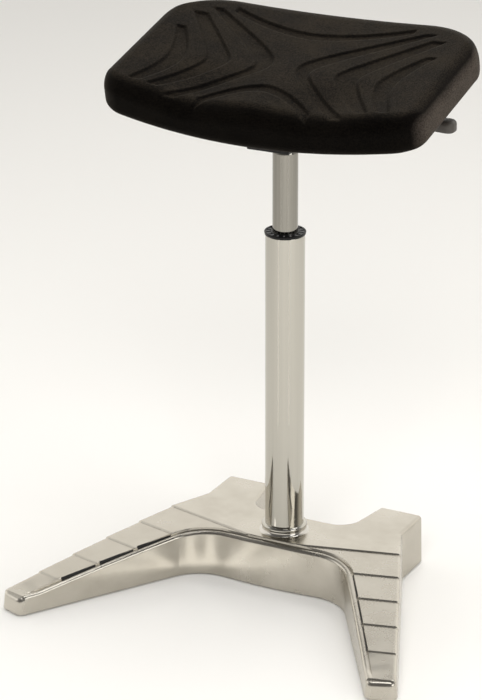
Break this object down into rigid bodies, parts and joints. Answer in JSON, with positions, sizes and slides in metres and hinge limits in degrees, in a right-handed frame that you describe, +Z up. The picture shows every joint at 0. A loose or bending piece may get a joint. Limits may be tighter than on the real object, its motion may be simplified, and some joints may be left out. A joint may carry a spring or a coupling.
{
  "type": "perch stool",
  "caption": "Height-adjustable perch stool: cast foot with two stepped front arms, chromed gas-spring column and a forward-leaning moulded seat with a release lever",
  "frame": {"origin": "on the floor, on the axis of the column", "axes": "+Z up, -Y to the stool's front, where the two long arms point, +X to the sitter's left, the lever's side"},
  "size_m": [0.5484, 0.435, 0.7186],
  "materials": {
    "casting": "polished cast",
    "glide": "matte",
    "chrome": "mirror chrome plate",
    "steel": "bright zinc",
    "bush": "moulded black",
    "cage": "plain",
    "buffer": "matte",
    "alloy": "turned",
    "seal": "satin",
    "black_steel": "black powder coat",
    "paddle": "fine texture",
    "board": "plain plywood",
    "cushion": "leather-grained foam skin"
  },
  "bodies": {
    "stand": {"base_casting": "casting", "glide_front_right": "glide", "glide_front_left": "glide", "glide_rear_right": "glide", "glide_rear_left": "glide", "stand_tube": "chrome", "column_collar": "chrome", "tube_end_plate": "steel", "guide_bush": "bush", "bearing_lower_washer": "steel", "rod_washer": "steel"},
    "bearing_cage": {"ball_cage": "cage", "bearing_balls": "steel"},
    "spring_rod": {"piston_rod": "steel", "piston": "alloy", "piston_ring": "seal", "piston_nut": "steel", "bearing_upper_washer": "steel", "rubber_buffer": "buffer", "retaining_clip": "steel"},
    "seat": {"pressure_cylinder": "chrome", "cylinder_guide": "bush", "rod_seal": "seal", "valve_body": "alloy", "taper_socket": "black_steel", "mechanism_bracket": "black_steel", "lever_pivot_pin": "steel", "pivot_pin_washer": "steel", "seat_board": "board", "seat_screws": "steel", "screw_washers": "steel", "board_nuts": "steel", "seat_cushion": "cushion"},
    "lever": {"release_lever": "black_steel", "lever_paddle": "paddle"},
    "release_button": {"release_pin": "steel"}
  },
  "joints": [
    {"name": "seat_swivel", "type": "hinge", "parent": "stand", "child": "spring_rod", "pos_m": [0, 0, 0], "axis": [0, 0, 1], "continuous": true},
    {"name": "cage_turn", "type": "hinge", "parent": "stand", "child": "bearing_cage", "pos_m": [0, 0, 0], "axis": [0, 0, 1], "continuous": true},
    {"name": "seat_height", "type": "slide", "parent": "spring_rod", "child": "seat", "axis": [0, 0, 1], "range_m": [-0.105, 0.095]},
    {"name": "release_lever", "type": "hinge", "parent": "seat", "child": "lever", "pos_m": [0.03473, 0.04111, 0.6165], "axis": [0.0314, -0.9995, 0], "range_deg": [0, 4.5], "stiffness_Nm_per_rad": 12, "springref_deg": -4.58},
    {"name": "button_travel", "type": "slide", "parent": "seat", "child": "release_button", "axis": [0, 0, 1], "range_m": [-0.003, 0]}
  ],
  "couplings": [
    {"joint": "cage_turn", "follows": "seat_swivel", "ratio": 0.5},
    {"joint": "button_travel", "follows": "release_lever", "m_per_rad": -0.038}
  ]
}
